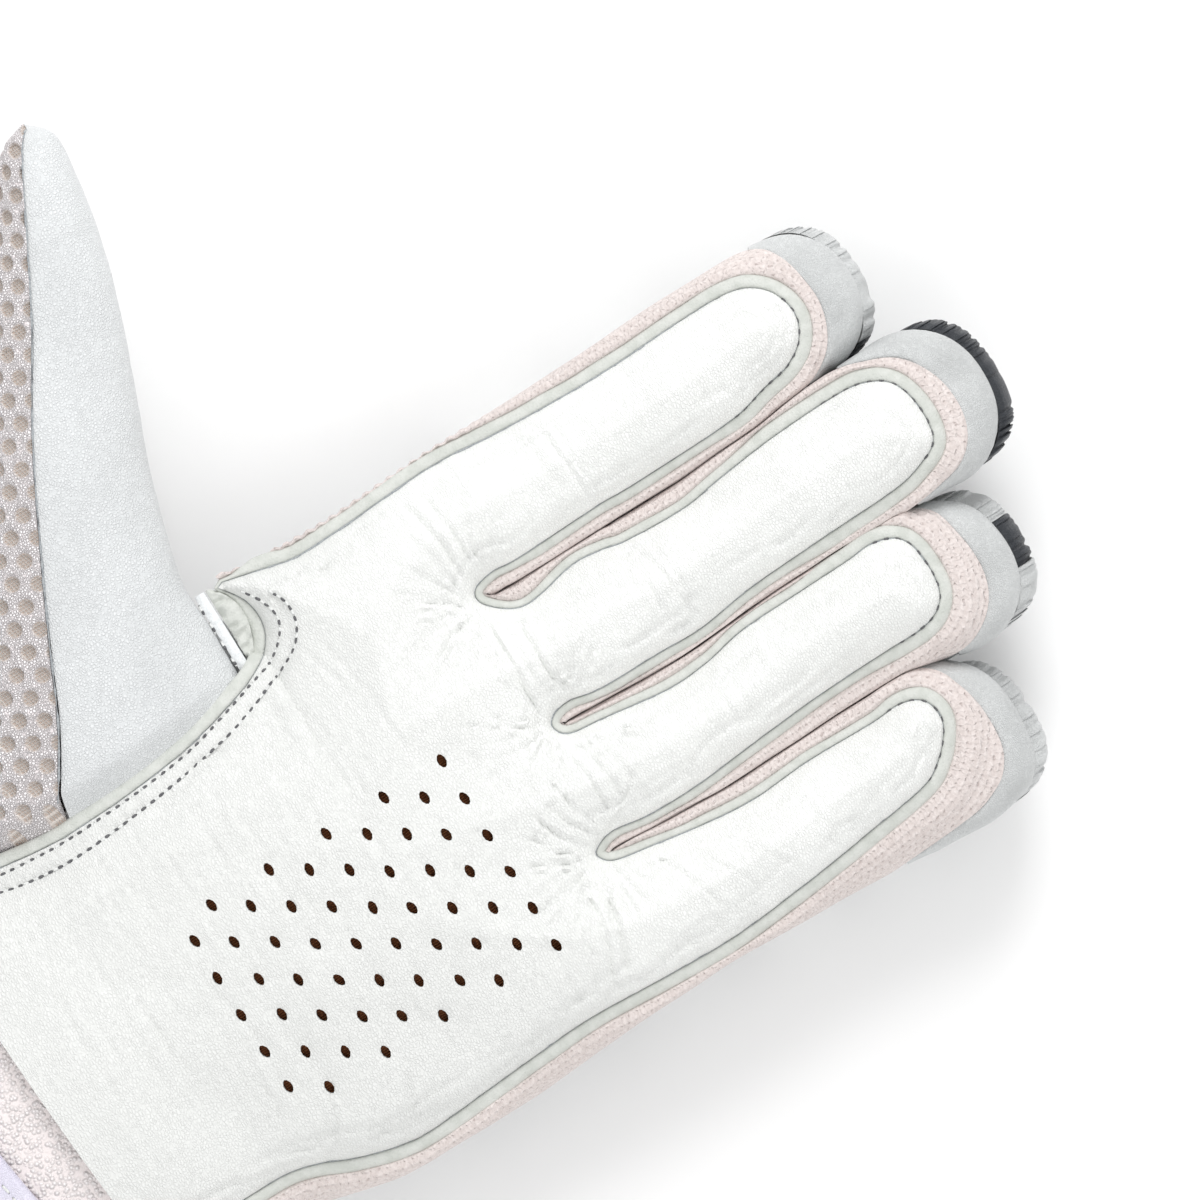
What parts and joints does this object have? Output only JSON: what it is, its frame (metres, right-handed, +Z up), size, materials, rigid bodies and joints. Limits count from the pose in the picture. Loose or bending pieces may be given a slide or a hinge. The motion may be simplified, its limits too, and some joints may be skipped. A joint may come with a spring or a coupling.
{
  "type": "cricket batting glove",
  "caption": "Left-hand cricket batting glove lying palm up: white leather palm, knitted finger sides, coated fingertip caps and padded rolls on the back.",
  "frame": {"origin": "middle of the glove's bounding box at the floor under the rolls", "axes": "+Y along the fingers, +Z up out of the palm, the thumb towards -X"},
  "size_m": [0.2046, 0.2716, 0.0472],
  "materials": {
    "palm_leather": "soft matt white leather with a fine stretched grain",
    "binding_tape": "flat woven grey-green strip",
    "knit_cloth": "fine knitted cloth, pinkish white",
    "coated_white": "smooth coated cloth, satin blue-white",
    "coated_dark": "smooth coated cloth, satin charcoal",
    "pebbled_leather": "fine pebbled leather, cool white",
    "spacer_mesh": "thick knitted mesh with round pits",
    "white_tape": "flat woven white tape",
    "terry_cloth": "looped towelling, pinkish white",
    "strap_coating": "smooth coated strap, pale lavender white"
  },
  "bodies": {
    "root": {"palm_leather": "palm_leather", "palm_binding": "binding_tape", "thumb_crotch_patch": "palm_leather", "index_gusset": "knit_cloth", "index_tip_cap": "coated_white", "index_tip_ruffle": "coated_white", "index_roll_base": "coated_white", "index_roll_mid": "coated_white", "index_roll_tip": "coated_white", "middle_gusset": "knit_cloth", "middle_tip_cap": "coated_white", "middle_tip_ruffle": "coated_dark", "middle_roll_base": "coated_white", "middle_roll_mid": "coated_white", "middle_roll_tip": "coated_white", "ring_gusset": "knit_cloth", "ring_tip_cap": "coated_white", "ring_tip_ruffle": "coated_white", "ring_roll_base": "coated_white", "ring_roll_mid": "coated_white", "ring_roll_tip": "coated_white", "little_gusset": "knit_cloth", "little_tip_cap": "coated_white", "little_tip_ruffle": "coated_white", "little_roll_base": "coated_white", "little_roll_mid": "coated_white", "little_roll_tip": "coated_white", "back_panel": "knit_cloth", "heel_gusset": "knit_cloth", "hand_roll_1": "coated_white", "hand_roll_2": "coated_white", "hand_roll_3": "coated_white", "hand_roll_4": "coated_white", "thumb_leather": "pebbled_leather", "thumb_mesh": "spacer_mesh", "thumb_roll_base": "coated_white", "thumb_roll_tip": "coated_white", "thumb_tape": "white_tape", "wristband": "terry_cloth", "wrist_strap": "strap_coating"}
  },
  "joints": []
}
